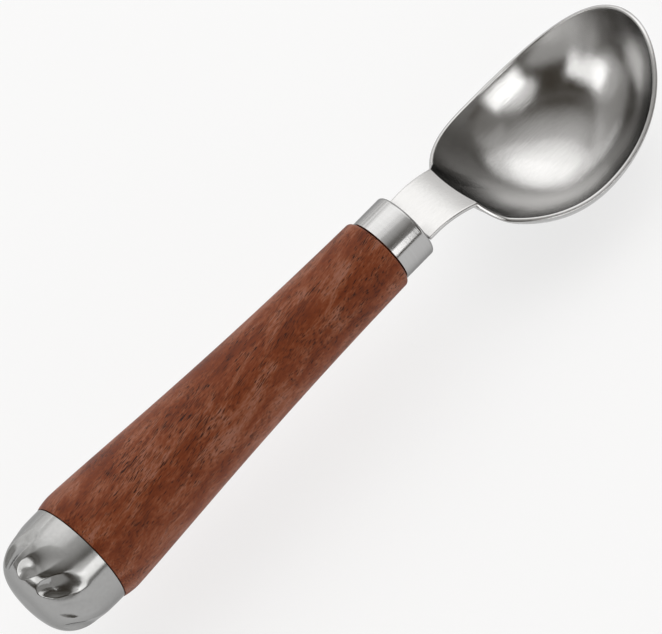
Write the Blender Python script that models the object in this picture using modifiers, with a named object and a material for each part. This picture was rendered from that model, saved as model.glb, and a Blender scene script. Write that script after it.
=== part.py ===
"""An ice cream scoop: a stamped bowl on a turned wooden handle, with a ferrule and a fluted end cap.

The handle's axis is the X axis, with x = 0 at the middle of the butt and the bowl towards +X.
The bowl opens upwards, towards +Z. Sizes are in millimetres until they are put into a mesh.
"""

import math

import bmesh
import bpy

MM = 0.001

# Fits between pieces
SEAT_GAP = 0.3
CUT_PAST = 2.0

# End cap
CAP_LENGTH = 18.2
CAP_RADIUS = 14.7
CAP_ROUNDNESS = 3.25
CAP_FLAT_RADIUS = 3.0
CAP_POCKET_WALL = 4.2
CAP_END_WALL = 7.5
BOSS_RADIUS = 7.0
BOSS_REACH = 8.0
BOSS_ROOT = 2.0
BOSS_HOLE_DEPTH = 18.0

# Flutes round the end cap
FLUTE_COUNT = 10
FLUTE_DEPTH = 0.9
FLUTE_END = 1.7
FLUTE_DEEPEST = 4.6
FLUTE_RUN_OUT = 12.8
FLUTE_FADE_BEND = 1.3
FLUTE_FADE_POWER = 1.6
FLUTE_FILL = 0.76
FLUTE_TAPER = 0.3
FLUTE_TWIST = math.radians(26.0)
FLUTE_TWIST_BEND = 1.5
FLUTE_PHASE = math.radians(35.0)

# Handle
HANDLE_LENGTH = 104.7
HANDLE_END_RADIUS = 14.8
HANDLE_FULL_RADIUS = 15.35
HANDLE_FULL_AT = 4.5
HANDLE_BELLY_RADIUS = 14.3
HANDLE_BELLY_AT = 25.0
HANDLE_WAIST_RADIUS = 11.3
HANDLE_WAIST_AT = 52.0
HANDLE_FRONT_RADIUS = 10.25
HANDLE_FRONT_ROUND = 1.2

# Ferrule
FERRULE_LENGTH = 9.6
FERRULE_RADIUS = 9.25
FERRULE_WALL = 1.0
FERRULE_FRONT_WALL = 1.0
FERRULE_ROUND = 0.9
SPIGOT_EDGE = 0.5

# Tie rod
ROD_RADIUS = 3.0
ROD_CHAMFER = 0.5
ROD_LAP = 10.0
ROD_CLEARANCE = 0.4

# Sheet of the bowl, the neck and the tang
SHEET = 1.2
SHEET_EDGE_ROUND = 0.25
TANG_WIDTH = 8.0
TANG_THIN = 0.7
TANG_LENGTH = 28.0
TANG_COIN_RAMP = 0.6
NECK_LENGTH = 15.1
NECK_WIDTH = 16.6
NECK_FLARE = 1.2
NECK_FLAT = 3.4
NECK_DROP = 3.0

# Bowl, measured on its inner face, with heights from the handle's axis
BOWL_LENGTH = 62.8
BOWL_HALF_WIDTH = 23.5
BOWL_EGG = 1.4
BOWL_BLUNT = 1.6
BOWL_SIDE_BULGE = 0.062
KEEL_HEIGHT = -29.4
KEEL_AT = 29.0
TIP_FULLNESS = 0.94
SIDE_FULLNESS = 0.88
NECK_FULLNESS = 0.8

# Rim of the bowl
RIM_DIP = -14.5
RIM_DIP_AT = 28.8
RIM_TIP_RISE = 11.3
RIM_TIP_BEND = 2.2
RIM_NECK_RISE = 8.2
RIM_NECK_ROUND = 18.0
NECK_EDGE_BOW = 0.8
RAMP_WIDTH = 5.3
RAMP_BEND = 1.4
RAMP_REACH = 8.0

# Places along the handle's axis
CAP_FACE = CAP_LENGTH
HANDLE_REAR = CAP_FACE + SEAT_GAP
HANDLE_FRONT = HANDLE_REAR + HANDLE_LENGTH
FERRULE_REAR = HANDLE_FRONT + SEAT_GAP
FERRULE_FRONT = FERRULE_REAR + FERRULE_LENGTH
NECK_REAR = FERRULE_FRONT + SEAT_GAP
NECK_BEND = NECK_REAR + NECK_FLAT
TANG_END = NECK_REAR - TANG_LENGTH
ROD_FRONT = TANG_END + ROD_LAP
ROD_REAR = CAP_FACE + BOSS_REACH - BOSS_HOLE_DEPTH + SEAT_GAP
SPIGOT_RADIUS = FERRULE_RADIUS - FERRULE_WALL - SEAT_GAP
SPIGOT_LENGTH = FERRULE_LENGTH - FERRULE_FRONT_WALL
NECK_BOWL_WIDTH = NECK_WIDTH + NECK_FLARE

# Facets
ROUND_STEPS = 40
ROD_STEPS = 24
CAP_STEPS_PER_FLUTE = 10
CAP_RING_SPANS = ((0.0, 0.46, 9), (0.46, 0.66, 8), (0.66, 1.0, 4))
CURVE_COUNT = 13
ARC_COUNT = 4
RIM_STEPS = 68
RIM_CROWDING = 0.25
BOWL_RINGS = 13
NECK_STEPS = 8
NECK_ROWS = 5


def clear_scene():
    """Empties the scene."""
    for obj in list(bpy.data.objects):
        bpy.data.objects.remove(obj, do_unlink=True)


def new_collection(name):
    collection = bpy.data.collections.new(name)
    bpy.context.scene.collection.children.link(collection)
    return collection


def metal(name, colour, roughness):
    """A bare metal."""
    return material(name, colour, roughness, 1.0)


def material(name, colour, roughness, metallic):
    made = bpy.data.materials.new(name)
    made.use_nodes = True
    shader = made.node_tree.nodes["Principled BSDF"]
    shader.inputs["Base Color"].default_value = (*colour, 1.0)
    shader.inputs["Roughness"].default_value = roughness
    shader.inputs["Metallic"].default_value = metallic
    made.diffuse_color = (*colour, 1.0)
    return made


def mesh_object(name, vertices, faces, collection, edges=()):
    """An object of points in millimetres."""
    mesh = bpy.data.meshes.new(name)
    mesh.from_pydata([(x * MM, y * MM, z * MM) for x, y, z in vertices], list(edges), faces)
    obj = bpy.data.objects.new(name, mesh)
    collection.objects.link(obj)
    return obj


def shade_round(obj, finish, sharp=math.radians(35.0)):
    """Smooth shading with sharp corners, and the piece's finish."""
    obj.data.materials.append(finish)
    obj.data.shade_smooth()
    obj.data.set_sharp_from_angle(angle=sharp)


def lay_along_handle(obj, place):
    """Turns an object's own +Z to the handle's +X, and moves it along the axis."""
    obj.rotation_euler = (0.0, math.pi / 2, 0.0)
    obj.location = (place * MM, 0.0, 0.0)


def as_cutter(obj):
    """Keeps an object out of the render, as a tool for a Boolean."""
    obj.hide_render = True
    obj.display_type = "WIRE"
    return obj


def boolean(obj, tool, operation):
    change = obj.modifiers.new(f"{operation.lower()}_{tool.name}", "BOOLEAN")
    change.operation = operation
    change.object = tool
    change.solver = "EXACT"


def bezier(start, pull_start, pull_end, end, count):
    """Points along a cubic curve in a plane, ends included."""
    points = []
    for step in range(count):
        t = step / (count - 1)
        weights = ((1 - t) ** 3, 3 * t * (1 - t) ** 2, 3 * t * t * (1 - t), t**3)
        handles = (start, pull_start, pull_end, end)
        points.append(tuple(sum(w * p[axis] for w, p in zip(weights, handles)) for axis in (0, 1)))
    return points


def arc(centre, radius, start, end, count):
    """Points along a circle's arc, ends included, with angles in degrees."""
    points = []
    for step in range(count):
        angle = math.radians(start + (end - start) * step / (count - 1))
        points.append((centre[0] + radius * math.cos(angle), centre[1] + radius * math.sin(angle)))
    return points


def turned(name, profile, closed, steps, collection):
    """A turned shape from (radius, height) points that run down its outer side and up its inner side."""
    vertices = [(radius, 0.0, height) for radius, height in profile]
    edges = [(step, step + 1) for step in range(len(profile) - 1)]
    if closed:
        edges.append((len(profile) - 1, 0))
    obj = mesh_object(name, vertices, [], collection, edges)
    screw = obj.modifiers.new("turn", "SCREW")
    screw.axis = "Z"
    screw.steps = steps
    screw.render_steps = steps
    screw.use_merge_vertices = True
    screw.merge_threshold = 0.00001
    screw.use_smooth_shade = True
    return obj


def turned_cutter(name, radius, span, steps, cutters):
    """A plain round cutter along the handle's axis, over a span of it."""
    low, high = span
    profile = [(0.0, high - low), (radius, high - low), (radius, 0.0), (0.0, 0.0)]
    cutter = as_cutter(turned(name, profile, False, steps, cutters))
    lay_along_handle(cutter, low)
    return cutter


def box_cutter(name, low, high, cutters):
    """A box between two corners."""
    mesh = bpy.data.meshes.new(name)
    shape = bmesh.new()
    bmesh.ops.create_cube(shape, size=1.0)
    for vertex in shape.verts:
        for axis in range(3):
            middle = (low[axis] + high[axis]) / 2
            vertex.co[axis] = (middle + vertex.co[axis] * (high[axis] - low[axis])) * MM
    shape.to_mesh(mesh)
    shape.free()
    cutter = bpy.data.objects.new(name, mesh)
    cutters.objects.link(cutter)
    return as_cutter(cutter)


def cap_profile(turn):
    """The cap's outline as (radius, height over the butt), with turn from 0 at the rim to 1 at the butt."""
    flat = math.acos((CAP_FLAT_RADIUS / CAP_RADIUS) ** (CAP_ROUNDNESS / 2))
    angle = turn * flat
    radius = CAP_RADIUS * math.cos(angle) ** (2 / CAP_ROUNDNESS)
    reach = math.sin(angle) ** (2 / CAP_ROUNDNESS) / math.sin(flat) ** (2 / CAP_ROUNDNESS)
    return radius, CAP_LENGTH * (1 - reach)


def flute_twist(height):
    """How far the flutes have turned about the axis at a height over the butt."""
    from_joint = min((CAP_LENGTH - height) / (CAP_LENGTH - FLUTE_END), 1.0)
    return FLUTE_TWIST * (1 - from_joint**FLUTE_TWIST_BEND)


def flute_depth(across, height):
    """Depth of a flute, with across 0 on its middle line and 1 half way to the next flute."""
    past_deepest = max((FLUTE_DEEPEST - height) / (FLUTE_DEEPEST - FLUTE_END), 0.0)
    along = min(max((height - FLUTE_DEEPEST) / (FLUTE_RUN_OUT - FLUTE_DEEPEST), 0.0), 1.0)
    half_width = FLUTE_FILL * (1 - FLUTE_TAPER * along**2)
    from_middle = (across / half_width) ** 2 + past_deepest**2
    fade = (1 - along**FLUTE_FADE_BEND) ** FLUTE_FADE_POWER
    return FLUTE_DEPTH * fade * max(1 - from_middle, 0.0)


def cap_ring(turn):
    """One ring of the fluted outside of the cap; its points follow the twist of the flutes."""
    small = 0.001
    radius, height = cap_profile(turn)
    before = cap_profile(max(turn - small, 0.0))
    after = cap_profile(min(turn + small, 1.0))
    run = math.hypot(after[0] - before[0], after[1] - before[1])
    inward = ((after[1] - before[1]) / run, (before[0] - after[0]) / run)
    points = []
    for step in range(FLUTE_COUNT * CAP_STEPS_PER_FLUTE):
        in_flute = 2 * (step % CAP_STEPS_PER_FLUTE) / CAP_STEPS_PER_FLUTE
        depth = flute_depth(min(in_flute, 2 - in_flute), height)
        angle = 2 * math.pi * step / (FLUTE_COUNT * CAP_STEPS_PER_FLUTE) + FLUTE_PHASE + flute_twist(height)
        cut_radius = radius + inward[0] * depth
        place = (cut_radius * math.cos(angle), cut_radius * math.sin(angle), height + inward[1] * depth)
        points.append(place)
    return points


def make_end_cap(parts, cutters, finish):
    """A cored casting: a fluted dome with a pocket, and a boss that takes the tie rod."""
    turns = [0.0]
    for start, end, count in CAP_RING_SPANS:
        turns += [start + (end - start) * (ring + 1) / count for ring in range(count)]
    vertices = []
    for turn in turns:
        vertices += cap_ring(turn)
    steps = FLUTE_COUNT * CAP_STEPS_PER_FLUTE
    faces = []
    for ring in range(len(turns) - 1):
        for step in range(steps):
            following = (step + 1) % steps
            top = ring * steps
            low = top + steps
            faces.append((top + step, low + step, low + following, top + following))
    faces.append(tuple(range(steps)))
    faces.append(tuple(reversed(range(len(vertices) - steps, len(vertices)))))
    cap = mesh_object("end_cap", vertices, faces, parts)
    lay_along_handle(cap, 0.0)
    shade_round(cap, finish)
    pocket_radius = CAP_RADIUS - CAP_POCKET_WALL
    pocket_span = (CAP_END_WALL, CAP_FACE + CUT_PAST)
    pocket = turned_cutter("cap_pocket", pocket_radius, pocket_span, ROUND_STEPS, cutters)
    boss_end = CAP_FACE + BOSS_REACH
    boss_span = (CAP_END_WALL - BOSS_ROOT, boss_end)
    boss = turned_cutter("cap_boss", BOSS_RADIUS, boss_span, ROUND_STEPS, cutters)
    hole_span = (boss_end - BOSS_HOLE_DEPTH, boss_end + CUT_PAST)
    hole = turned_cutter("cap_hole", ROD_RADIUS + SEAT_GAP, hole_span, ROD_STEPS, cutters)
    boolean(cap, pocket, "DIFFERENCE")
    boolean(cap, boss, "UNION")
    boolean(cap, hole, "DIFFERENCE")
    return cap


def handle_profile():
    """The handle's outline with its spigot, counterbores and bore, from the front down and back up inside."""
    top = HANDLE_LENGTH + SPIGOT_LENGTH
    rod_bore = ROD_RADIUS + ROD_CLEARANCE
    tang_bore = math.hypot(TANG_WIDTH, SHEET) / 2 + ROD_CLEARANCE
    tang_bore_low = TANG_END - HANDLE_REAR - 2 * SEAT_GAP
    boss_bore = BOSS_RADIUS + SEAT_GAP
    shoulder = HANDLE_LENGTH - HANDLE_FRONT_ROUND
    outline = [(SPIGOT_RADIUS - SPIGOT_EDGE, top), (SPIGOT_RADIUS, top - SPIGOT_EDGE)]
    outline.append((SPIGOT_RADIUS, HANDLE_LENGTH))
    round_centre = (HANDLE_FRONT_RADIUS - HANDLE_FRONT_ROUND, shoulder)
    outline += arc(round_centre, HANDLE_FRONT_ROUND, 90.0, 0.0, ARC_COUNT)
    full = (HANDLE_FULL_RADIUS, HANDLE_FULL_AT)
    belly = (HANDLE_BELLY_RADIUS, HANDLE_BELLY_AT)
    waist = (HANDLE_WAIST_RADIUS, HANDLE_WAIST_AT)
    outline += bezier((HANDLE_FRONT_RADIUS, shoulder), waist, belly, full, CURVE_COUNT)[1:]
    lean = (HANDLE_BELLY_RADIUS - HANDLE_FULL_RADIUS) / (HANDLE_BELLY_AT - HANDLE_FULL_AT)
    pull = HANDLE_FULL_AT / 3
    past_full = (HANDLE_FULL_RADIUS - lean * pull, HANDLE_FULL_AT - pull)
    near_end = ((HANDLE_FULL_RADIUS + HANDLE_END_RADIUS) / 2, pull / 2)
    outline += bezier(full, past_full, near_end, (HANDLE_END_RADIUS, 0.0), ARC_COUNT)[1:]
    outline += [(boss_bore, 0.0), (boss_bore, BOSS_REACH), (rod_bore, BOSS_REACH)]
    outline += [(rod_bore, tang_bore_low), (tang_bore, tang_bore_low), (tang_bore, top)]
    return outline


def make_handle(parts, finish):
    """Turned hardwood, bored through, with a spigot for the ferrule."""
    handle = turned("handle", handle_profile(), True, ROUND_STEPS, parts)
    lay_along_handle(handle, HANDLE_REAR)
    shade_round(handle, finish)
    return handle


def make_ferrule(parts, cutters, finish):
    """A drawn cup over the handle's spigot, with a slot for the tang in its front wall."""
    inner = FERRULE_RADIUS - FERRULE_WALL
    round_centre = (FERRULE_RADIUS - FERRULE_ROUND, FERRULE_LENGTH - FERRULE_ROUND)
    profile = [(0.0, FERRULE_LENGTH)]
    profile += arc(round_centre, FERRULE_ROUND, 90.0, 0.0, ARC_COUNT)
    profile += [(FERRULE_RADIUS, 0.0), (inner, 0.0)]
    profile += [(inner, FERRULE_LENGTH - FERRULE_FRONT_WALL), (0.0, FERRULE_LENGTH - FERRULE_FRONT_WALL)]
    ferrule = turned("ferrule", profile, False, ROUND_STEPS, parts)
    lay_along_handle(ferrule, FERRULE_REAR)
    shade_round(ferrule, finish)
    across = TANG_WIDTH / 2 + SEAT_GAP
    up = SHEET / 2 + SEAT_GAP
    inside = FERRULE_FRONT - FERRULE_FRONT_WALL - CUT_PAST
    slot = box_cutter("tang_slot", (inside, -across, -up), (FERRULE_FRONT + CUT_PAST, across, up), cutters)
    boolean(ferrule, slot, "DIFFERENCE")
    return ferrule


def make_tie_rod(parts, cutters, finish):
    """A rod through the handle: its forked front is brazed over the tang, its rear screws into the cap."""
    length = ROD_FRONT - ROD_REAR
    profile = [(0.0, length), (ROD_RADIUS - ROD_CHAMFER, length), (ROD_RADIUS, length - ROD_CHAMFER)]
    profile += [(ROD_RADIUS, ROD_CHAMFER), (ROD_RADIUS - ROD_CHAMFER, 0.0), (0.0, 0.0)]
    rod = turned("tie_rod", profile, False, ROD_STEPS, parts)
    lay_along_handle(rod, ROD_REAR)
    shade_round(rod, finish)
    across = ROD_RADIUS + CUT_PAST
    tang_low = SHEET / 2 - SHEET * TANG_THIN
    low = (TANG_END - SEAT_GAP, -across, tang_low - SEAT_GAP)
    high = (ROD_FRONT + CUT_PAST, across, SHEET / 2 + SEAT_GAP)
    boolean(rod, box_cutter("rod_fork", low, high, cutters), "DIFFERENCE")
    return rod


def neck_top(x):
    """Height of the neck's upper face: flat at the ferrule, then one even bend down to the bowl."""
    along = max(x - NECK_BEND, 0.0) / (NECK_LENGTH - NECK_FLAT)
    return SHEET / 2 - NECK_DROP * along * along


def halve(past, low, high):
    """The place between low and high where past() turns from false to true."""
    for _ in range(40):
        middle = (low + high) / 2
        if past(middle):
            high = middle
        else:
            low = middle
    return (low + high) / 2


def rim_outline(turn):
    """The bowl's oval in plan, from its back and its middle line; turn 0 is the tip, half a turn the back."""
    half = BOWL_LENGTH / 2
    reach = half + (half - BOWL_BLUNT) * math.cos(turn)
    reach += BOWL_EGG * (math.cos(2 * turn) - 1) + BOWL_BLUNT * math.cos(3 * turn)
    bulge = BOWL_SIDE_BULGE
    side = BOWL_HALF_WIDTH * (math.sin(turn) + bulge * math.sin(3 * turn)) / (1 - bulge)
    return reach, side


def turn_at_side(side):
    """The turn at the bowl's back where its oval is this far from the middle line."""
    return halve(lambda turn: rim_outline(turn)[1] < side, math.pi / 2, 3 * math.pi / 2)


CORNER_TURN = turn_at_side(NECK_BOWL_WIDTH / 2)
CORNER_REACH = rim_outline(CORNER_TURN)[0]
BOWL_BACK = NECK_REAR + NECK_LENGTH - CORNER_REACH


def saddle(reach):
    """Height of the rim in side view: it dips at the middle and rises to the tip and to the neck."""
    from_dip = reach - RIM_DIP_AT
    if from_dip > 0:
        return RIM_DIP + RIM_TIP_RISE * (from_dip / (BOWL_LENGTH - RIM_DIP_AT)) ** RIM_TIP_BEND
    full = math.hypot(1, RIM_DIP_AT / RIM_NECK_ROUND) - 1
    return RIM_DIP + RIM_NECK_RISE * (math.hypot(1, from_dip / RIM_NECK_ROUND) - 1) / full


def bowl_point(turn, share):
    """A point of the bowl's inner face, with share 1 at the rim and 0 at the keel."""
    reach, side = rim_outline(turn)
    past_corner = (abs(side) - NECK_BOWL_WIDTH / 2) / RAMP_WIDTH
    rise = 0.0
    shift = 0.0
    if reach < RIM_DIP_AT and past_corner > 0:
        corner_rise = neck_top(BOWL_BACK + CORNER_REACH) - saddle(CORNER_REACH)
        rise = corner_rise * max(1 - past_corner, 0.0) ** RAMP_BEND
    elif reach < RIM_DIP_AT:
        neck_edge = CORNER_REACH - NECK_EDGE_BOW * (1 - (2 * side / NECK_BOWL_WIDTH) ** 2)
        rise = neck_top(BOWL_BACK + neck_edge) - saddle(reach)
        shift = neck_edge - reach
    endness = math.cos(turn) ** 2
    end_fullness = TIP_FULLNESS if math.cos(turn) > 0 else NECK_FULLNESS
    fullness = SIDE_FULLNESS + (end_fullness - SIDE_FULLNESS) * endness
    section = (1 - math.sqrt(1 - (fullness * share) ** 2)) / (1 - math.sqrt(1 - fullness**2))
    near_rim = share**RAMP_REACH
    height = KEEL_HEIGHT + (saddle(reach) - KEEL_HEIGHT) * section + rise * near_rim
    return BOWL_BACK + KEEL_AT + (reach - KEEL_AT) * share + shift * near_rim, side * share, height


def bowl_turns():
    """Turns of the bowl's columns: evenly across the neck, then round the rim, closer near the neck."""
    half = NECK_BOWL_WIDTH / 2
    turns = [turn_at_side(half * (1 - 2 * step / NECK_STEPS)) for step in range(NECK_STEPS + 1)]
    for step in range(1, RIM_STEPS):
        across = 2 * step / RIM_STEPS - 1
        turns.append(CORNER_TURN * (across * (1 + RIM_CROWDING) - RIM_CROWDING * across**3))
    return turns


def bowl_sheet():
    """Vertices and faces of the sheet's upper face: bowl, neck and tang in one surface."""
    vertices = []
    faces = []
    turns = bowl_turns()
    columns = len(turns)
    for ring in range(BOWL_RINGS):
        share = math.cos(math.pi / 2 * ring / BOWL_RINGS)
        vertices += [bowl_point(turn, share) for turn in turns]
    vertices.append(bowl_point(0.0, 0.0))
    keel = len(vertices) - 1
    for column in range(columns):
        following = (column + 1) % columns
        for ring in range(BOWL_RINGS - 1):
            top = ring * columns
            low = top + columns
            faces.append((top + column, top + following, low + following, low + column))
        last = (BOWL_RINGS - 1) * columns
        faces.append((last + column, last + following, keel))
    front = list(range(NECK_STEPS + 1))
    for row in range(1, NECK_ROWS + 2):
        front = neck_row(vertices, faces, front, row)
    tang = front[NECK_STEPS // 4 : NECK_STEPS - NECK_STEPS // 4 + 1]
    for place in (NECK_REAR - TANG_COIN_RAMP, TANG_END):
        behind = []
        for index in tang:
            behind.append(len(vertices))
            vertices.append((place, vertices[index][1], SHEET / 2))
        add_strip(faces, tang, behind)
        tang = behind
    return vertices, faces


def neck_row(vertices, faces, front, row):
    """Adds one row of the neck behind the row in front of it: up to its bend, then to its shoulders."""
    behind = []
    for column, index in enumerate(front):
        side = 1 - 2 * column / NECK_STEPS
        if row <= NECK_ROWS:
            break_x, break_y, _ = vertices[column]
            share = row / NECK_ROWS
            x = break_x + (NECK_BEND - break_x) * share
            y = break_y + (shoulder_place(side) - break_y) * share
        else:
            x = NECK_REAR
            y = shoulder_place(side)
        behind.append(len(vertices))
        vertices.append((x, y, neck_top(x)))
    add_strip(faces, front, behind)
    return behind


def shoulder_place(side):
    """Where a column of the neck lies at the shoulders, with the tang's edges at half way."""
    inner = min(abs(side), 0.5) * TANG_WIDTH
    outer = max(abs(side) - 0.5, 0.0) * (NECK_WIDTH - TANG_WIDTH)
    return math.copysign(inner + outer, side)


def add_strip(faces, front, behind):
    """Faces between two rows of vertices, looking up."""
    for column in range(len(front) - 1):
        faces.append((front[column], behind[column], behind[column + 1], front[column + 1]))


def make_bowl(parts, finish):
    """One stamping: the bowl with its saddle rim, the neck and the tang, at the sheet's thickness."""
    vertices, faces = bowl_sheet()
    bowl = mesh_object("bowl", vertices, faces, parts)
    tang = bowl.vertex_groups.new(name="full_thickness")
    coined = [index for index, point in enumerate(vertices) if point[0] < NECK_REAR - TANG_COIN_RAMP / 2]
    full = [index for index in range(len(vertices)) if index not in set(coined)]
    tang.add(full, 1.0, "REPLACE")
    tang.add(coined, TANG_THIN, "REPLACE")
    shade_round(bowl, finish)
    shell = bowl.modifiers.new("sheet", "SOLIDIFY")
    shell.thickness = SHEET * MM
    shell.offset = -1.0
    shell.use_even_offset = True
    shell.vertex_group = tang.name
    edges = bowl.modifiers.new("edge_round", "BEVEL")
    edges.width = SHEET_EDGE_ROUND * MM
    edges.segments = 2
    edges.limit_method = "ANGLE"
    edges.angle_limit = math.radians(60.0)
    return bowl


def main():
    clear_scene()
    parts = new_collection("ice_cream_scoop")
    cutters = new_collection("cutters")
    cutters.hide_render = True
    steel = metal("satin_steel", (0.56, 0.55, 0.53), 0.28)
    bright_steel = metal("bright_steel", (0.60, 0.59, 0.58), 0.22)
    cast_steel = metal("cast_steel", (0.44, 0.44, 0.43), 0.34)
    rod_steel = metal("plain_steel", (0.42, 0.42, 0.42), 0.45)
    wood = material("oiled_hardwood", (0.205, 0.070, 0.037), 0.42, 0.0)
    make_bowl(parts, steel)
    make_ferrule(parts, cutters, bright_steel)
    make_handle(parts, wood)
    make_tie_rod(parts, cutters, rod_steel)
    make_end_cap(parts, cutters, cast_steel)


main()
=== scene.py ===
"""The ice cream scoop dressed for the studio.

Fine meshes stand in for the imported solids, with procedural steels and hardwood, and soft light.
Sizes are in millimetres, as in the part's source, until they are put into a mesh.
"""

import math

import bpy
from mathutils import Matrix, Vector


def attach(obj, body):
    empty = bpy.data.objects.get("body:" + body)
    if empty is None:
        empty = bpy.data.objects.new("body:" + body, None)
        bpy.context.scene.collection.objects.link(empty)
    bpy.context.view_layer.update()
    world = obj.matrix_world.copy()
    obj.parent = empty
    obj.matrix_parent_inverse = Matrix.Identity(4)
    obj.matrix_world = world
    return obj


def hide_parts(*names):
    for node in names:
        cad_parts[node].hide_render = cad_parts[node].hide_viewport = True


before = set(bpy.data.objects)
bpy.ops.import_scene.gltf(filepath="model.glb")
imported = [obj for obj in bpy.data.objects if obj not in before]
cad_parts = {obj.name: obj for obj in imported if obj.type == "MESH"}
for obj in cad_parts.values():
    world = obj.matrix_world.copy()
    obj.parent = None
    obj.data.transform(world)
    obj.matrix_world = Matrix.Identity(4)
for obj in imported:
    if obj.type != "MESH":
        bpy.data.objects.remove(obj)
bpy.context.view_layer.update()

MM = 0.001

# Fits between pieces
SEAT_GAP = 0.3

# End cap
CAP_LENGTH = 18.2
CAP_RADIUS = 14.7
CAP_ROUNDNESS = 3.25
CAP_FLAT_RADIUS = 3.0
CAP_POCKET_WALL = 4.2
CAP_END_WALL = 7.5
BOSS_RADIUS = 7.0
BOSS_REACH = 8.0
BOSS_HOLE_DEPTH = 18.0
FLUTE_COUNT = 10
FLUTE_DEPTH = 0.9
FLUTE_END = 1.7
FLUTE_DEEPEST = 4.6
FLUTE_RUN_OUT = 12.8
FLUTE_FADE_BEND = 1.3
FLUTE_FADE_POWER = 1.6
FLUTE_FILL = 0.76
FLUTE_TAPER = 0.3
FLUTE_TWIST = math.radians(26.0)
FLUTE_TWIST_BEND = 1.5
FLUTE_PHASE = math.radians(35.0)
BUTT_RING_RADII = (2.0, 1.0, 0.0)

# Handle
HANDLE_LENGTH = 104.7
HANDLE_END_RADIUS = 14.8
HANDLE_FULL_RADIUS = 15.34
HANDLE_FULL_AT = 4.5
HANDLE_BELLY_RADIUS = 14.3
HANDLE_BELLY_AT = 25.0
HANDLE_WAIST_RADIUS = 11.3
HANDLE_WAIST_AT = 52.0
HANDLE_FRONT_RADIUS = 10.25
HANDLE_FRONT_ROUND = 1.2

# Ferrule and tie rod
FERRULE_LENGTH = 9.6
FERRULE_RADIUS = 9.25
FERRULE_WALL = 1.0
FERRULE_FRONT_WALL = 1.0
FERRULE_ROUND = 0.9
FERRULE_REAR_EDGE = 0.12
SLOT_CUT_BEHIND = 3.0
SLOT_CUT_AHEAD = 2.0
SPIGOT_EDGE = 0.5
ROD_RADIUS = 3.0
ROD_CLEARANCE = 0.4

# Sheet of the bowl, the neck and the tang
SHEET = 1.2
SHEET_EDGE_ROUND = 0.52
SHEET_EDGE_STEPS = 4
SHEET_EDGE_ANGLE = math.radians(60.0)
TANG_WIDTH = 8.0
TANG_THIN = 0.7
TANG_LENGTH = 28.0
TANG_COIN_RAMP = 0.6
NECK_LENGTH = 15.1
NECK_WIDTH = 16.6
NECK_FLARE = 1.2
NECK_FLAT = 3.4
NECK_DROP = 3.0

# Bowl, on its inner face
BOWL_LENGTH = 62.8
BOWL_HALF_WIDTH = 23.5
BOWL_EGG = 1.4
BOWL_BLUNT = 1.6
BOWL_SIDE_BULGE = 0.062
KEEL_HEIGHT = -29.4
KEEL_AT = 29.0
TIP_FULLNESS = 0.94
SIDE_FULLNESS = 0.88
NECK_FULLNESS = 0.8
RIM_DIP = -14.5
RIM_DIP_AT = 28.8
RIM_TIP_RISE = 11.3
RIM_TIP_BEND = 2.2
RIM_NECK_RISE = 8.2
RIM_NECK_ROUND = 18.0
NECK_EDGE_BOW = 0.8
RAMP_WIDTH = 5.3
RAMP_BEND = 1.4
RAMP_REACH = 8.0

# Places along the handle's axis
CAP_FACE = CAP_LENGTH
HANDLE_REAR = CAP_FACE + SEAT_GAP
HANDLE_FRONT = HANDLE_REAR + HANDLE_LENGTH
FERRULE_REAR = HANDLE_FRONT + SEAT_GAP
FERRULE_FRONT = FERRULE_REAR + FERRULE_LENGTH
NECK_REAR = FERRULE_FRONT + SEAT_GAP
NECK_BEND = NECK_REAR + NECK_FLAT
TANG_END = NECK_REAR - TANG_LENGTH
SPIGOT_RADIUS = FERRULE_RADIUS - FERRULE_WALL - SEAT_GAP
SPIGOT_LENGTH = FERRULE_LENGTH - FERRULE_FRONT_WALL
NECK_BOWL_WIDTH = NECK_WIDTH + NECK_FLARE

# Fineness of the meshes
ROUND_STEPS = 192
CAP_STEPS_PER_FLUTE = 32
CAP_RINGS = 110
RIM_STEPS = 220
RIM_CROWDING = 0.25
BOWL_RINGS = 44
RIM_RINGS_LEFT_OUT = 3
NECK_STEPS = 24
NECK_ROWS = 16
CURVE_COUNT = 60
ARC_COUNT = 9
HALVINGS = 40
SLOPE_STEP = 0.001
NO_RADIUS = 1e-6
SHARP_ANGLE = math.radians(35.0)

# Finishing marks on the steels: noises per metre, shares and tones
MARK_DETAIL = 4.0
MARK_ROUGHNESS = 0.65
MARK_TONE = 0.93
NOISE_RANGE = (0.3, 0.7)
BUFF_SHARE = 0.28
BUFF_DETAIL = 1.0
BUFF_HEIGHT = 0.8
CLOUD_SCALE = 140.0
CLOUD_DETAIL = 3.0

# Wood: tones, and noises stretched along the grain, per metre
GRAIN_LEAN = (0.0, 0.0, math.radians(-11.0))
WOOD_DARK = (0.144, 0.027, 0.0058, 1.0)
WOOD_RED = (0.196, 0.042, 0.0112, 1.0)
WOOD_WARM = (0.25, 0.074, 0.031, 1.0)
WOOD_PALE = (0.318, 0.128, 0.08, 1.0)
WOOD_PORE = (0.038, 0.0095, 0.0035, 1.0)
WOOD_STOPS = ((0.385, WOOD_DARK), (0.47, WOOD_RED), (0.535, WOOD_WARM), (0.62, WOOD_PALE))
FIGURE_STRETCH = (75.0, 190.0, 190.0)
FIGURE_DETAIL = 3.0
FIGURE_DISTORTION = 0.6
FIGURE_SHARE = 0.5
STREAK_STRETCH = (40.0, 700.0, 700.0)
STREAK_DETAIL = 3.0
STREAK_SHARE = 0.22
FIBRE_STRETCH = (700.0, 3400.0, 3400.0)
FIBRE_DETAIL = 2.0
FIBRE_SHARE = 0.28
CROWD_STRETCH = (60.0, 220.0, 220.0)
CROWD_DETAIL = 1.0
CROWD_RANGE = (0.35, 0.65)
PORE_LIMITS = (0.285, 0.4)
PORE_STRETCH = (430.0, 5600.0, 5600.0)
PORE_DETAIL = 0.5
PORE_SLOPE = 26.0
WOOD_ROUGHNESS = (0.42, 0.58)
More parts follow.
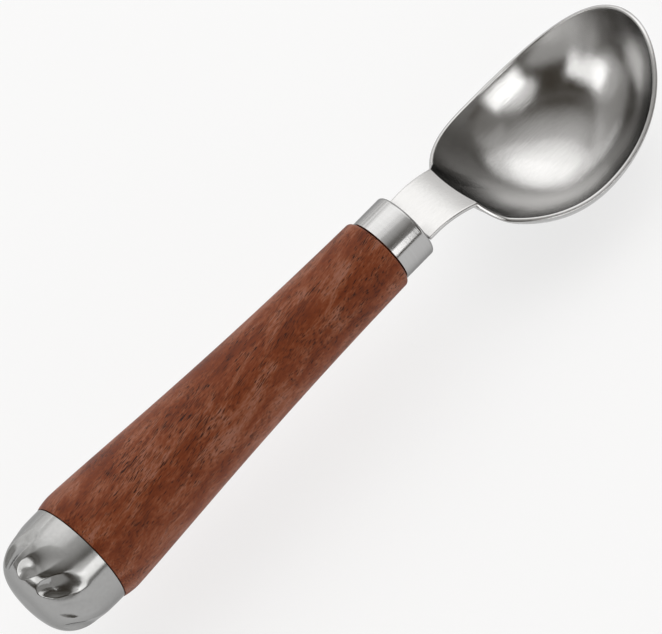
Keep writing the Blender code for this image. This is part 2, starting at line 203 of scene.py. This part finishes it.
WOOD_SPECULAR = 0.16
WOOD_FIBRE_HEIGHT = 0.35
WOOD_PORE_HEIGHT = 0.65
WOOD_RELIEF_SHARE = 0.35
WOOD_RELIEF = 0.00008

# Camera, fitted to the photograph
CAMERA_PLACE = (-1093.43, -3413.49, 4543.67)
CAMERA_RIGHT = (0.688777, -0.655183, -0.310358)
CAMERA_UP = (0.695068, 0.475106, 0.539587)
CAMERA_BACK = (-0.206075, -0.587375, 0.782639)
LENS = 1300.0
SENSOR = 36.0
CLIP_NEAR = 0.05
CLIP_FAR = 50.0

# Floor and world
FLOOR_HEIGHT = -30.75
FLOOR_REACH = 3000.0
FLOOR_TONE = (0.28, 0.28, 0.28, 1.0)
FLOOR_GLOW = 0.69
FLOOR_ROUGHNESS = 0.9
WORLD_TONE = (1.0, 0.84, 0.62, 1.0)
WORLD_STRENGTH = 0.058

# Soft boxes round the object's middle: name, shape, azimuth and elevation, width and height
# in degrees, radiance, and the spread in degrees. A narrow spread fades a box to its edge.
MIDDLE = (105.0, 0.0, -8.0)
BOX_DISTANCE = 2000.0
SOFT_BOXES = (
    ("key_heart", "ELLIPSE", (34.0, 50.0), (56.0, 30.0), 0.25, 180.0),
    ("key_ring", "ELLIPSE", (36.0, 52.0), (66.0, 48.0), 0.3, 180.0),
    ("key_band", "ELLIPSE", (32.0, 48.0), (88.0, 78.0), 0.46, 180.0),
    ("key_glow", "ELLIPSE", (32.0, 54.0), (130.0, 130.0), 0.29, 130.0),
    ("top_glow", "ELLIPSE", (27.5, 74.0), (104.0, 104.0), 0.1, 104.0),
    ("top_box", "ELLIPSE", (27.5, 74.0), (108.0, 112.0), 0.14, 180.0),
    ("fore_glow", "ELLIPSE", (-70.0, 58.0), (64.0, 64.0), 0.009, 64.0),
    ("corner_box", "ELLIPSE", (-52.0, 27.0), (46.0, 30.0), 0.2, 180.0),
    ("rear_box", "ELLIPSE", (80.0, 29.5), (41.0, 42.0), 0.15, 180.0),
    ("rear_low", "RECTANGLE", (80.0, 6.0), (60.0, 15.0), 0.45, 180.0),
    ("rear_wall", "RECTANGLE", (80.0, 13.5), (64.0, 31.0), 0.42, 180.0),
    ("back_box", "ELLIPSE", (125.0, 26.0), (89.0, 41.0), 0.34, 180.0),
    ("rear_glow", "ELLIPSE", (122.0, 60.0), (70.0, 70.0), 0.02, 70.0),
    ("back_low", "ELLIPSE", (124.0, 4.0), (44.0, 16.0), 0.18, 180.0),
    ("left_box", "RECTANGLE", (181.0, 29.0), (45.0, 20.5), 1.65, 180.0),
    ("left_glow", "ELLIPSE", (156.0, 22.0), (34.0, 38.0), 0.26, 180.0),
    ("low_box", "ELLIPSE", (-138.0, 12.0), (56.0, 22.0), 0.45, 180.0),
    ("front_box", "RECTANGLE", (-87.0, 17.5), (29.0, 20.0), 2.15, 180.0),
    ("front_top", "ELLIPSE", (-95.0, 33.0), (30.0, 22.0), 1.0, 180.0),
)


def mesh_object(name, vertices, faces):
    mesh = bpy.data.meshes.new(name)
    mesh.from_pydata([(x * MM, y * MM, z * MM) for x, y, z in vertices], [], faces)
    obj = bpy.data.objects.new(name, mesh)
    bpy.context.scene.collection.objects.link(obj)
    return obj


def shade_round(obj):
    obj.data.shade_smooth()
    obj.data.set_sharp_from_angle(angle=SHARP_ANGLE)


def bezier(start, pull_start, pull_end, end, count):
    points = []
    for step in range(count):
        t = step / (count - 1)
        weights = ((1 - t) ** 3, 3 * t * (1 - t) ** 2, 3 * t * t * (1 - t), t**3)
        handles = (start, pull_start, pull_end, end)
        points.append(tuple(sum(w * p[axis] for w, p in zip(weights, handles)) for axis in (0, 1)))
    return points


def arc(centre, radius, start, end, count):
    points = []
    for step in range(count):
        angle = math.radians(start + (end - start) * step / (count - 1))
        points.append((centre[0] + radius * math.cos(angle), centre[1] + radius * math.sin(angle)))
    return points


def ring_points(radius, x, count, turn=0.0):
    """A circle round the handle's axis."""
    points = []
    for step in range(count):
        angle = 2 * math.pi * step / count + turn
        points.append((x, radius * math.cos(angle), radius * math.sin(angle)))
    return points


def loft(name, rings, closed):
    """A surface through rings of equally many points, with a ring of no radius made one point."""
    vertices = []
    faces = []
    rows = []
    for ring in rings:
        if max(math.hypot(y, z) for _, y, z in ring) < NO_RADIUS:
            rows.append([len(vertices)] * len(ring))
            vertices.append(ring[0])
        else:
            rows.append(list(range(len(vertices), len(vertices) + len(ring))))
            vertices += ring
    pairs = list(zip(rows[:-1], rows[1:]))
    if closed:
        pairs.append((rows[-1], rows[0]))
    for top, low in pairs:
        for step in range(len(top)):
            following = (step + 1) % len(top)
            face = []
            for index in (top[step], top[following], low[following], low[step]):
                if index not in face:
                    face.append(index)
            if len(face) > 2:
                faces.append(tuple(face))
    return mesh_object(name, vertices, faces)


def turned(name, profile, place, closed):
    """A turned shape from (radius, height) points, laid along the handle's axis."""
    rings = [ring_points(radius, place + height, ROUND_STEPS) for radius, height in profile]
    return loft(name, rings, closed)


def cap_profile(turn):
    """The dome's radius and height at a share of the way from the joint to the butt."""
    flat = math.acos((CAP_FLAT_RADIUS / CAP_RADIUS) ** (CAP_ROUNDNESS / 2))
    angle = turn * flat
    radius = CAP_RADIUS * math.cos(angle) ** (2 / CAP_ROUNDNESS)
    reach = math.sin(angle) ** (2 / CAP_ROUNDNESS) / math.sin(flat) ** (2 / CAP_ROUNDNESS)
    return radius, CAP_LENGTH * (1 - reach)


def flute_twist(height):
    from_joint = min((CAP_LENGTH - height) / (CAP_LENGTH - FLUTE_END), 1.0)
    return FLUTE_TWIST * (1 - from_joint**FLUTE_TWIST_BEND)


def flute_depth(across, height):
    """How deep a flute is at this height, with across from 0 in its middle to 1 between two."""
    past_deepest = max((FLUTE_DEEPEST - height) / (FLUTE_DEEPEST - FLUTE_END), 0.0)
    along = min(max((height - FLUTE_DEEPEST) / (FLUTE_RUN_OUT - FLUTE_DEEPEST), 0.0), 1.0)
    half_width = FLUTE_FILL * (1 - FLUTE_TAPER * along**2)
    from_middle = (across / half_width) ** 2 + past_deepest**2
    fade = (1 - along**FLUTE_FADE_BEND) ** FLUTE_FADE_POWER
    return FLUTE_DEPTH * fade * max(1 - from_middle, 0.0)


def cap_ring(turn):
    """One ring of the dome, pushed inwards along the dome's normal where a flute cuts it."""
    radius, height = cap_profile(turn)
    before = cap_profile(max(turn - SLOPE_STEP, 0.0))
    after = cap_profile(min(turn + SLOPE_STEP, 1.0))
    run = math.hypot(after[0] - before[0], after[1] - before[1])
    inward = ((after[1] - before[1]) / run, (before[0] - after[0]) / run)
    count = FLUTE_COUNT * CAP_STEPS_PER_FLUTE
    points = []
    for step in range(count):
        in_flute = 2 * (step % CAP_STEPS_PER_FLUTE) / CAP_STEPS_PER_FLUTE
        depth = flute_depth(min(in_flute, 2 - in_flute), height)
        angle = 2 * math.pi * step / count + FLUTE_PHASE + flute_twist(height) + math.pi / 2
        cut_radius = radius + inward[0] * depth
        x = height + inward[1] * depth
        points.append((x, cut_radius * math.cos(angle), cut_radius * math.sin(angle)))
    return points


def make_end_cap():
    count = FLUTE_COUNT * CAP_STEPS_PER_FLUTE
    rings = [cap_ring(ring / CAP_RINGS) for ring in range(CAP_RINGS + 1)]
    butt_turn = FLUTE_PHASE + math.pi / 2
    rings += [ring_points(radius, 0.0, count, butt_turn) for radius in BUTT_RING_RADII]
    pocket = CAP_RADIUS - CAP_POCKET_WALL
    boss_end = CAP_FACE + BOSS_REACH
    hole = ROD_RADIUS + SEAT_GAP
    hole_end = boss_end - BOSS_HOLE_DEPTH
    inside = [(0.0, hole_end), (hole, hole_end), (hole, boss_end), (BOSS_RADIUS, boss_end)]
    inside += [(BOSS_RADIUS, CAP_END_WALL), (pocket, CAP_END_WALL), (pocket, CAP_FACE)]
    joint_turn = butt_turn + FLUTE_TWIST
    rings = [ring_points(radius, x, count, joint_turn) for radius, x in inside] + rings
    cap = loft("scoop_end_cap", rings, False)
    shade_round(cap)
    return cap


def make_handle():
    top = HANDLE_LENGTH + SPIGOT_LENGTH
    rod_bore = ROD_RADIUS + ROD_CLEARANCE
    tang_bore = math.hypot(TANG_WIDTH, SHEET) / 2 + ROD_CLEARANCE
    tang_bore_low = TANG_END - HANDLE_REAR - 2 * SEAT_GAP
    boss_bore = BOSS_RADIUS + SEAT_GAP
    shoulder = HANDLE_LENGTH - HANDLE_FRONT_ROUND
    outline = [(SPIGOT_RADIUS - SPIGOT_EDGE, top), (SPIGOT_RADIUS, top - SPIGOT_EDGE)]
    outline.append((SPIGOT_RADIUS, HANDLE_LENGTH))
    round_centre = (HANDLE_FRONT_RADIUS - HANDLE_FRONT_ROUND, shoulder)
    outline += arc(round_centre, HANDLE_FRONT_ROUND, 90.0, 0.0, ARC_COUNT)
    full = (HANDLE_FULL_RADIUS, HANDLE_FULL_AT)
    belly = (HANDLE_BELLY_RADIUS, HANDLE_BELLY_AT)
    waist = (HANDLE_WAIST_RADIUS, HANDLE_WAIST_AT)
    outline += bezier((HANDLE_FRONT_RADIUS, shoulder), waist, belly, full, CURVE_COUNT)[1:]
    lean = (HANDLE_BELLY_RADIUS - HANDLE_FULL_RADIUS) / (HANDLE_BELLY_AT - HANDLE_FULL_AT)
    pull = HANDLE_FULL_AT / 3
    past_full = (HANDLE_FULL_RADIUS - lean * pull, HANDLE_FULL_AT - pull)
    near_end = ((HANDLE_FULL_RADIUS + HANDLE_END_RADIUS) / 2, pull / 2)
    outline += bezier(full, past_full, near_end, (HANDLE_END_RADIUS, 0.0), ARC_COUNT)[1:]
    outline += [(boss_bore, 0.0), (boss_bore, BOSS_REACH), (rod_bore, BOSS_REACH)]
    outline += [(rod_bore, tang_bore_low), (tang_bore, tang_bore_low), (tang_bore, top)]
    handle = turned("scoop_handle", outline, HANDLE_REAR, True)
    shade_round(handle)
    return handle


def make_ferrule():
    inner = FERRULE_RADIUS - FERRULE_WALL
    round_centre = (FERRULE_RADIUS - FERRULE_ROUND, FERRULE_LENGTH - FERRULE_ROUND)
    profile = [(0.0, FERRULE_LENGTH)]
    profile += arc(round_centre, FERRULE_ROUND, 90.0, 0.0, ARC_COUNT)
    profile += [(FERRULE_RADIUS, FERRULE_REAR_EDGE), (FERRULE_RADIUS - FERRULE_REAR_EDGE, 0.0)]
    profile += [(inner, 0.0), (inner, SPIGOT_LENGTH), (0.0, SPIGOT_LENGTH)]
    ferrule = turned("scoop_ferrule", profile, FERRULE_REAR, False)
    across = TANG_WIDTH / 2 + SEAT_GAP
    up = SHEET / 2 + SEAT_GAP
    corners = []
    for x in (FERRULE_FRONT - SLOT_CUT_BEHIND, FERRULE_FRONT + SLOT_CUT_AHEAD):
        for y in (-across, across):
            for z in (-up, up):
                corners.append((x, y, z))
    sides = [(0, 1, 3, 2), (4, 6, 7, 5), (0, 4, 5, 1), (2, 3, 7, 6), (0, 2, 6, 4), (1, 5, 7, 3)]
    slot = mesh_object("slot_tool", corners, sides)
    change = ferrule.modifiers.new("slot", "BOOLEAN")
    change.operation = "DIFFERENCE"
    change.object = slot
    change.solver = "EXACT"
    keep_shape(ferrule)
    bpy.data.objects.remove(slot, do_unlink=True)
    shade_round(ferrule)
    return ferrule


def keep_shape(obj):
    """Turns an object's modifiers into its mesh."""
    depsgraph = bpy.context.evaluated_depsgraph_get()
    shaped = bpy.data.meshes.new_from_object(obj.evaluated_get(depsgraph), depsgraph=depsgraph)
    obj.modifiers.clear()
    obj.data = shaped


def neck_top(x):
    """The height of the strip's upper face."""
    along = max(x - NECK_BEND, 0.0) / (NECK_LENGTH - NECK_FLAT)
    return SHEET / 2 - NECK_DROP * along * along


def halve(past, low, high):
    """The place between low and high where past turns true."""
    for _ in range(HALVINGS):
        middle = (low + high) / 2
        if past(middle):
            high = middle
        else:
            low = middle
    return (low + high) / 2


def rim_outline(turn):
    """The rim seen from above: reach from the bowl's back, and side."""
    half = BOWL_LENGTH / 2
    reach = half + (half - BOWL_BLUNT) * math.cos(turn)
    reach += BOWL_EGG * (math.cos(2 * turn) - 1) + BOWL_BLUNT * math.cos(3 * turn)
    bulge = BOWL_SIDE_BULGE
    side = BOWL_HALF_WIDTH * (math.sin(turn) + bulge * math.sin(3 * turn)) / (1 - bulge)
    return reach, side


def turn_at_side(side):
    return halve(lambda turn: rim_outline(turn)[1] < side, math.pi / 2, 3 * math.pi / 2)


CORNER_TURN = turn_at_side(NECK_BOWL_WIDTH / 2)
CORNER_REACH = rim_outline(CORNER_TURN)[0]
BOWL_BACK = NECK_REAR + NECK_LENGTH - CORNER_REACH


def saddle(reach):
    """The rim's height, lowest at its dip and higher at the tip and at the neck."""
    from_dip = reach - RIM_DIP_AT
    if from_dip > 0:
        return RIM_DIP + RIM_TIP_RISE * (from_dip / (BOWL_LENGTH - RIM_DIP_AT)) ** RIM_TIP_BEND
    full = math.hypot(1, RIM_DIP_AT / RIM_NECK_ROUND) - 1
    return RIM_DIP + RIM_NECK_RISE * (math.hypot(1, from_dip / RIM_NECK_ROUND) - 1) / full


def bowl_point(turn, share):
    """A point of the inner face, at a share of the way from the keel out to the rim."""
    reach, side = rim_outline(turn)
    past_corner = (abs(side) - NECK_BOWL_WIDTH / 2) / RAMP_WIDTH
    rise = 0.0
    shift = 0.0
    if reach < RIM_DIP_AT and past_corner > 0:
        corner_rise = neck_top(BOWL_BACK + CORNER_REACH) - saddle(CORNER_REACH)
        rise = corner_rise * max(1 - past_corner, 0.0) ** RAMP_BEND
    elif reach < RIM_DIP_AT:
        neck_edge = CORNER_REACH - NECK_EDGE_BOW * (1 - (2 * side / NECK_BOWL_WIDTH) ** 2)
        rise = neck_top(BOWL_BACK + neck_edge) - saddle(reach)
        shift = neck_edge - reach
    endness = math.cos(turn) ** 2
    end_fullness = TIP_FULLNESS if math.cos(turn) > 0 else NECK_FULLNESS
    fullness = SIDE_FULLNESS + (end_fullness - SIDE_FULLNESS) * endness
    section = (1 - math.sqrt(1 - (fullness * share) ** 2)) / (1 - math.sqrt(1 - fullness**2))
    near_rim = share**RAMP_REACH
    height = KEEL_HEIGHT + (saddle(reach) - KEEL_HEIGHT) * section + rise * near_rim
    return BOWL_BACK + KEEL_AT + (reach - KEEL_AT) * share + shift * near_rim, side * share, height


def bowl_turns():
    """Where the columns lie: evenly along the neck's edge, then crowded near its corners."""
    half = NECK_BOWL_WIDTH / 2
    turns = [turn_at_side(half * (1 - 2 * step / NECK_STEPS)) for step in range(NECK_STEPS + 1)]
    for step in range(1, RIM_STEPS):
        across = 2 * step / RIM_STEPS - 1
        turns.append(CORNER_TURN * (across * (1 + RIM_CROWDING) - RIM_CROWDING * across**3))
    return turns


def add_strip(faces, front, behind):
    for column in range(len(front) - 1):
        faces.append((front[column], behind[column], behind[column + 1], front[column + 1]))


def shoulder_place(side):
    """A column's place across the strip's rear edge, so that its middle half is the tang."""
    inner = min(abs(side), 0.5) * TANG_WIDTH
    outer = max(abs(side) - 0.5, 0.0) * (NECK_WIDTH - TANG_WIDTH)
    return math.copysign(inner + outer, side)


def neck_row(vertices, faces, front, row):
    """Adds one row of the strip, from the bowl's edge towards the ferrule."""
    behind = []
    for column, index in enumerate(front):
        side = 1 - 2 * column / NECK_STEPS
        if row <= NECK_ROWS:
            break_x, break_y, _ = vertices[column]
            share = row / NECK_ROWS
            x = break_x + (NECK_BEND - break_x) * share
            y = break_y + (shoulder_place(side) - break_y) * share
        else:
            x = NECK_REAR
            y = shoulder_place(side)
        behind.append(len(vertices))
        vertices.append((x, y, neck_top(x)))
    add_strip(faces, front, behind)
    return behind


def make_bowl():
    """The stamping in one surface with the sheet's thickness: bowl, neck and tang."""
    vertices = []
    faces = []
    turns = bowl_turns()
    columns = len(turns)
    rings = [0, *range(RIM_RINGS_LEFT_OUT + 1, BOWL_RINGS)]
    for ring in rings:
        share = math.cos(math.pi / 2 * ring / BOWL_RINGS)
        vertices += [bowl_point(turn, share) for turn in turns]
    vertices.append(bowl_point(0.0, 0.0))
    keel = len(vertices) - 1
    for column in range(columns):
        following = (column + 1) % columns
        for ring in range(len(rings) - 1):
            top = ring * columns
            low = top + columns
            faces.append((top + column, top + following, low + following, low + column))
        last = (len(rings) - 1) * columns
        faces.append((last + column, last + following, keel))
    front = list(range(NECK_STEPS + 1))
    for row in range(1, NECK_ROWS + 2):
        front = neck_row(vertices, faces, front, row)
    tang = front[NECK_STEPS // 4 : NECK_STEPS - NECK_STEPS // 4 + 1]
    for place in (NECK_REAR - TANG_COIN_RAMP, TANG_END):
        behind = []
        for index in tang:
            behind.append(len(vertices))
            vertices.append((place, vertices[index][1], SHEET / 2))
        add_strip(faces, tang, behind)
        tang = behind
    bowl = mesh_object("scoop_bowl", vertices, faces)
    group = bowl.vertex_groups.new(name="full_thickness")
    coined_from = NECK_REAR - TANG_COIN_RAMP / 2
    coined = [index for index, point in enumerate(vertices) if point[0] < coined_from]
    full = [index for index, point in enumerate(vertices) if point[0] >= coined_from]
    group.add(full, 1.0, "REPLACE")
    group.add(coined, TANG_THIN, "REPLACE")
    shell = bowl.modifiers.new("sheet", "SOLIDIFY")
    shell.thickness = SHEET * MM
    shell.offset = -1.0
    shell.use_even_offset = True
    shell.vertex_group = group.name
    edges = bowl.modifiers.new("edge_round", "BEVEL")
    edges.width = SHEET_EDGE_ROUND * MM
    edges.segments = SHEET_EDGE_STEPS
    edges.limit_method = "ANGLE"
    edges.angle_limit = SHEET_EDGE_ANGLE
    keep_shape(bowl)
    shade_round(bowl)
    return bowl


def material_of(name):
    made = bpy.data.materials.new(name)
    made.use_nodes = True
    return made, made.node_tree, made.node_tree.nodes["Principled BSDF"]


def put(tree, socket, value):
    """Links an output to the socket, or sets a plain value on it."""
    if isinstance(value, bpy.types.NodeSocket):
        tree.links.new(value, socket)
    else:
        socket.default_value = value


def noise(tree, place, scale, detail, roughness=0.5, distortion=0.0):
    node = tree.nodes.new("ShaderNodeTexNoise")
    put(tree, node.inputs["Vector"], place)
    put(tree, node.inputs["Scale"], scale)
    put(tree, node.inputs["Detail"], detail)
    put(tree, node.inputs["Roughness"], roughness)
    put(tree, node.inputs["Distortion"], distortion)
    return node.outputs["Fac"]


def maths(tree, operation, *values):
    node = tree.nodes.new("ShaderNodeMath")
    node.operation = operation
    for socket, value in zip(node.inputs, values):
        put(tree, socket, value)
    return node.outputs["Value"]


def between(tree, value, source, target):
    """Takes a value from the source range to the target range, and stops at its ends."""
    node = tree.nodes.new("ShaderNodeMapRange")
    put(tree, node.inputs["Value"], value)
    put(tree, node.inputs["From Min"], source[0])
    put(tree, node.inputs["From Max"], source[1])
    put(tree, node.inputs["To Min"], target[0])
    put(tree, node.inputs["To Max"], target[1])
    return node.outputs["Result"]


def toned(tree, value, stops):
    """A colour ramp through (position, colour) stops."""
    node = tree.nodes.new("ShaderNodeValToRGB")
    put(tree, node.inputs["Fac"], value)
    ramp = node.color_ramp
    for element, (position, colour) in zip(ramp.elements, (stops[0], stops[-1])):
        element.position = position
        element.color = colour
    for position, colour in stops[1:-1]:
        ramp.elements.new(position).color = colour
    return node.outputs["Color"]


def relief(tree, shader, height, strength, distance):
    node = tree.nodes.new("ShaderNodeBump")
    put(tree, node.inputs["Height"], height)
    put(tree, node.inputs["Strength"], strength)
    put(tree, node.inputs["Distance"], distance)
    put(tree, shader.inputs["Normal"], node.outputs["Normal"])


def steel(name, tone, edge, roughness, spread, mark_stretch, mark_height):
    """Bare steel with fine finishing marks over soft buffing waves.

    The edge is its tint at a glancing view, and the roughness wanders by the spread either way.
    """
    made, tree, shader = material_of(name)
    shader.inputs["Metallic"].default_value = 1.0
    shader.inputs["Specular Tint"].default_value = (edge, edge, edge, 1.0)
    place = tree.nodes.new("ShaderNodeTexCoord").outputs["Object"]
    stretch = tree.nodes.new("ShaderNodeMapping")
    put(tree, stretch.inputs["Vector"], place)
    put(tree, stretch.inputs["Scale"], mark_stretch)
    along = stretch.outputs["Vector"]
    marks = noise(tree, along, 1.0, MARK_DETAIL, MARK_ROUGHNESS)
    waves = noise(tree, along, BUFF_SHARE, BUFF_DETAIL)
    cloud = noise(tree, place, CLOUD_SCALE, CLOUD_DETAIL)
    marked = (*(part * MARK_TONE for part in tone), 1.0)
    stops = ((NOISE_RANGE[0], marked), (NOISE_RANGE[1], (*tone, 1.0)))
    put(tree, shader.inputs["Base Color"], toned(tree, marks, stops))
    wander = (roughness - spread, roughness + spread)
    put(tree, shader.inputs["Roughness"], between(tree, cloud, NOISE_RANGE, wander))
    height = maths(tree, "MULTIPLY_ADD", waves, BUFF_HEIGHT, marks)
    relief(tree, shader, height, 1.0, mark_height)
    return made


def hardwood():
    """Oiled red-brown hardwood: mottled figure, fine fibres and short dark pores."""
    made, tree, shader = material_of("oiled_hardwood_figure")
    turned_place = tree.nodes.new("ShaderNodeMapping")
    put(tree, turned_place.inputs["Vector"], tree.nodes.new("ShaderNodeTexCoord").outputs["Object"])
    put(tree, turned_place.inputs["Rotation"], GRAIN_LEAN)

    def grain(stretch, detail, distortion=0.0):
        squeeze = tree.nodes.new("ShaderNodeVectorMath")
        squeeze.operation = "MULTIPLY"
        put(tree, squeeze.inputs[0], turned_place.outputs["Vector"])
        put(tree, squeeze.inputs[1], stretch)
        return noise(tree, squeeze.outputs["Vector"], 1.0, detail, distortion=distortion)

    figure = grain(FIGURE_STRETCH, FIGURE_DETAIL, FIGURE_DISTORTION)
    streaks = grain(STREAK_STRETCH, STREAK_DETAIL)
    fibres = grain(FIBRE_STRETCH, FIBRE_DETAIL)
    broad = maths(tree, "MULTIPLY", figure, FIGURE_SHARE)
    narrow = maths(tree, "MULTIPLY", streaks, STREAK_SHARE)
    tone = maths(tree, "ADD", broad, narrow)
    tone = maths(tree, "ADD", tone, maths(tree, "MULTIPLY", fibres, FIBRE_SHARE))
    crowd = grain(CROWD_STRETCH, CROWD_DETAIL)
    limit = between(tree, crowd, CROWD_RANGE, PORE_LIMITS)
    pore = maths(tree, "SUBTRACT", grain(PORE_STRETCH, PORE_DETAIL), limit)
    pore = maths(tree, "MULTIPLY", pore, PORE_SLOPE)
    no_pore = between(tree, pore, (0.0, 1.0), (0.0, 1.0))
    veil = tree.nodes.new("ShaderNodeMix")
    veil.data_type = "RGBA"
    put(tree, veil.inputs["Factor"], no_pore)
    colours = [socket for socket in veil.inputs if socket.type == "RGBA"]
    put(tree, colours[0], WOOD_PORE)
    put(tree, colours[1], toned(tree, tone, WOOD_STOPS))
    mixed = next(socket for socket in veil.outputs if socket.type == "RGBA")
    put(tree, shader.inputs["Base Color"], mixed)
    put(tree, shader.inputs["Roughness"], between(tree, fibres, NOISE_RANGE, WOOD_ROUGHNESS))
    shader.inputs["Specular IOR Level"].default_value = WOOD_SPECULAR
    fibre_height = maths(tree, "MULTIPLY", fibres, WOOD_FIBRE_HEIGHT)
    pore_height = maths(tree, "MULTIPLY", no_pore, WOOD_PORE_HEIGHT)
    height = maths(tree, "ADD", fibre_height, pore_height)
    relief(tree, shader, height, WOOD_RELIEF_SHARE, WOOD_RELIEF)
    return made


def dress(piece, node, finish):
    piece.data.materials.clear()
    piece.data.materials.append(finish)
    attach(piece, "root")
    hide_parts(node)


def make_floor():
    reach = FLOOR_REACH
    corners = [(-reach, -reach, FLOOR_HEIGHT), (reach, -reach, FLOOR_HEIGHT)]
    corners += [(reach, reach, FLOOR_HEIGHT), (-reach, reach, FLOOR_HEIGHT)]
    floor = mesh_object("floor", corners, [(0, 1, 2, 3)])
    made, _, shader = material_of("pale_floor")
    shader.inputs["Base Color"].default_value = FLOOR_TONE
    shader.inputs["Emission Color"].default_value = (1.0, 1.0, 1.0, 1.0)
    shader.inputs["Emission Strength"].default_value = FLOOR_GLOW
    shader.inputs["Roughness"].default_value = FLOOR_ROUGHNESS
    floor.data.materials.append(made)


def soft_box(name, shape, angles, spans, radiance, spread):
    """An area light that faces the object's middle, with its place and sides as angles there."""
    side, up = (math.radians(angle) for angle in angles)
    way = Vector((math.cos(up) * math.cos(side), math.cos(up) * math.sin(side), math.sin(up)))
    data = bpy.data.lights.new(name, "AREA")
    data.shape = shape
    data.size, data.size_y = (
        2 * BOX_DISTANCE * math.tan(math.radians(span / 2)) * MM for span in spans
    )
    area = data.size * data.size_y * (math.pi / 4 if shape == "ELLIPSE" else 1.0)
    data.energy = radiance * math.pi * area
    data.spread = math.radians(spread)
    box = bpy.data.objects.new(name, data)
    box.location = (Vector(MIDDLE) + way * BOX_DISTANCE) * MM
    box.rotation_euler = way.to_track_quat("Z", "Y").to_euler()
    bpy.context.scene.collection.objects.link(box)


def make_camera():
    data = bpy.data.cameras.new("camera")
    data.lens = LENS
    data.sensor_width = SENSOR
    data.clip_start = CLIP_NEAR
    data.clip_end = CLIP_FAR
    camera = bpy.data.objects.new("camera", data)
    axes = [CAMERA_RIGHT, CAMERA_UP, CAMERA_BACK]
    place = Matrix([[axis[row] for axis in axes] for row in range(3)]).to_4x4()
    place.translation = Vector(CAMERA_PLACE) * MM
    camera.matrix_world = place
    bpy.context.scene.collection.objects.link(camera)
    bpy.context.scene.camera = camera


def make_world():
    world = bpy.data.worlds.new("studio")
    world.use_nodes = True
    background = world.node_tree.nodes["Background"]
    background.inputs["Color"].default_value = WORLD_TONE
    background.inputs["Strength"].default_value = WORLD_STRENGTH
    bpy.context.scene.world = world
    bpy.context.scene.view_settings.view_transform = "Standard"
    bpy.context.scene.view_settings.look = "None"


make_camera()
satin = steel(
    "satin_steel_brushed",
    tone=(0.538, 0.534, 0.528),
    edge=0.75,
    roughness=0.17,
    spread=0.04,
    mark_stretch=(300.0, 3600.0, 3600.0),
    mark_height=0.000016,
)
bright = steel(
    "bright_steel_turned",
    tone=(0.47, 0.468, 0.465),
    edge=0.45,
    roughness=0.15,
    spread=0.03,
    mark_stretch=(6000.0, 60.0, 60.0),
    mark_height=0.000005,
)
cast = steel(
    "cast_steel_polished",
    tone=(0.385, 0.385, 0.38),
    edge=0.6,
    roughness=0.17,
    spread=0.045,
    mark_stretch=(900.0, 900.0, 900.0),
    mark_height=0.000008,
)
plain = steel(
    "plain_steel_drawn",
    tone=(0.42, 0.42, 0.42),
    edge=1.0,
    roughness=0.45,
    spread=0.04,
    mark_stretch=(100.0, 2000.0, 2000.0),
    mark_height=0.000006,
)
dress(make_bowl(), "bowl", satin)
dress(make_ferrule(), "ferrule", bright)
dress(make_handle(), "handle", hardwood())
dress(make_end_cap(), "end_cap", cast)
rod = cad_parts["tie_rod"]
for place in rod.material_slots:
    place.material = plain
make_floor()
make_world()
for box in SOFT_BOXES:
    soft_box(*box)
